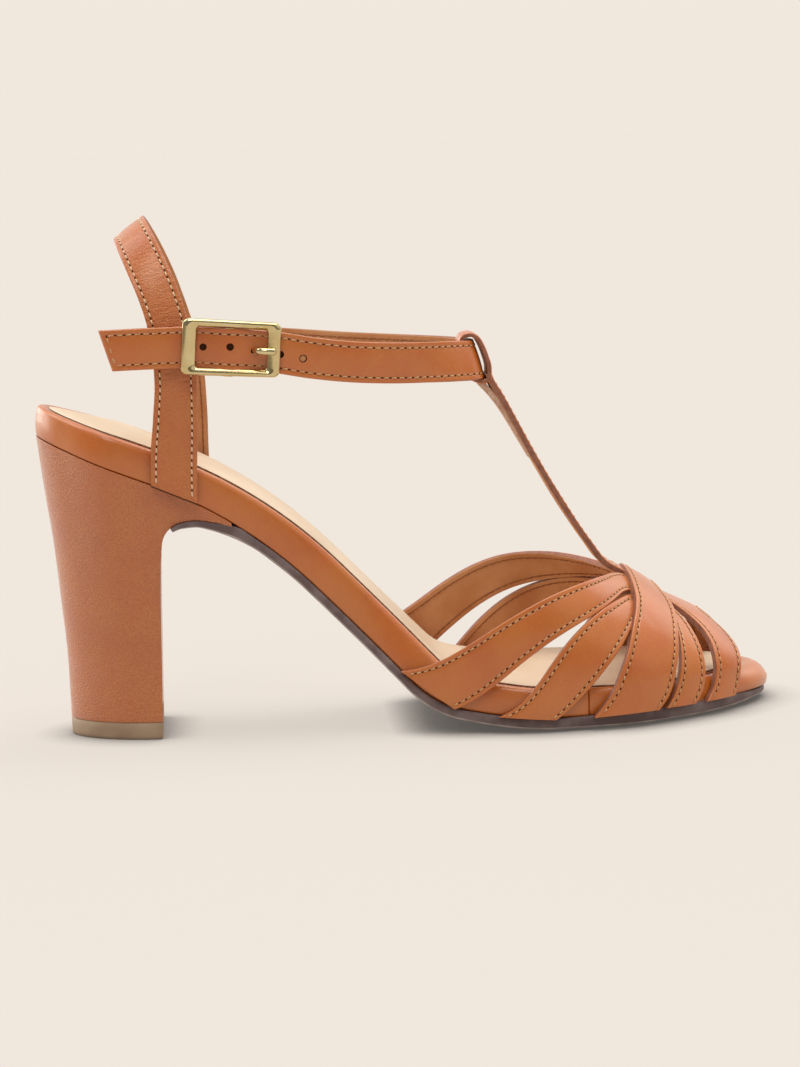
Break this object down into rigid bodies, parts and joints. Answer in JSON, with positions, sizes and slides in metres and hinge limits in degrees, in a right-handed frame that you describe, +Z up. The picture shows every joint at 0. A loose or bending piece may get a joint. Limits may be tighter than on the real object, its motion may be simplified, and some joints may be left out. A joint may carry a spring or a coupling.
{
  "type": "heeled sandal",
  "caption": "Right high-heeled sandal with a covered block heel, a fan of vamp straps, an instep strap and a buckled ankle strap, made to be worn on the foot.",
  "frame": {"origin": "centre of the shoe's bounding box, on the floor plane under the tread and the heel", "axes": "+X from heel to toe, +Y towards the inner side of the foot, +Z up"},
  "size_m": [0.2194, 0.0846, 0.1544],
  "materials": {
    "camel_leather": "smooth camel leather with a soft sheen",
    "sock_leather": "pale matte leather",
    "sole_rubber": "matte dark brown rubber",
    "tip_rubber": "matte olive brown rubber",
    "pale_brass": "polished pale gold"
  },
  "bodies": {
    "root": {"outsole": "sole_rubber", "midsole": "camel_leather", "insole_sock": "sock_leather", "heel": "camel_leather", "heel_top_piece": "tip_rubber", "upper": "camel_leather", "heel_strap": "camel_leather", "ankle_strap": "camel_leather", "buckle_frame": "pale_brass", "buckle_prong": "pale_brass", "buckle_tab": "camel_leather"}
  },
  "joints": []
}
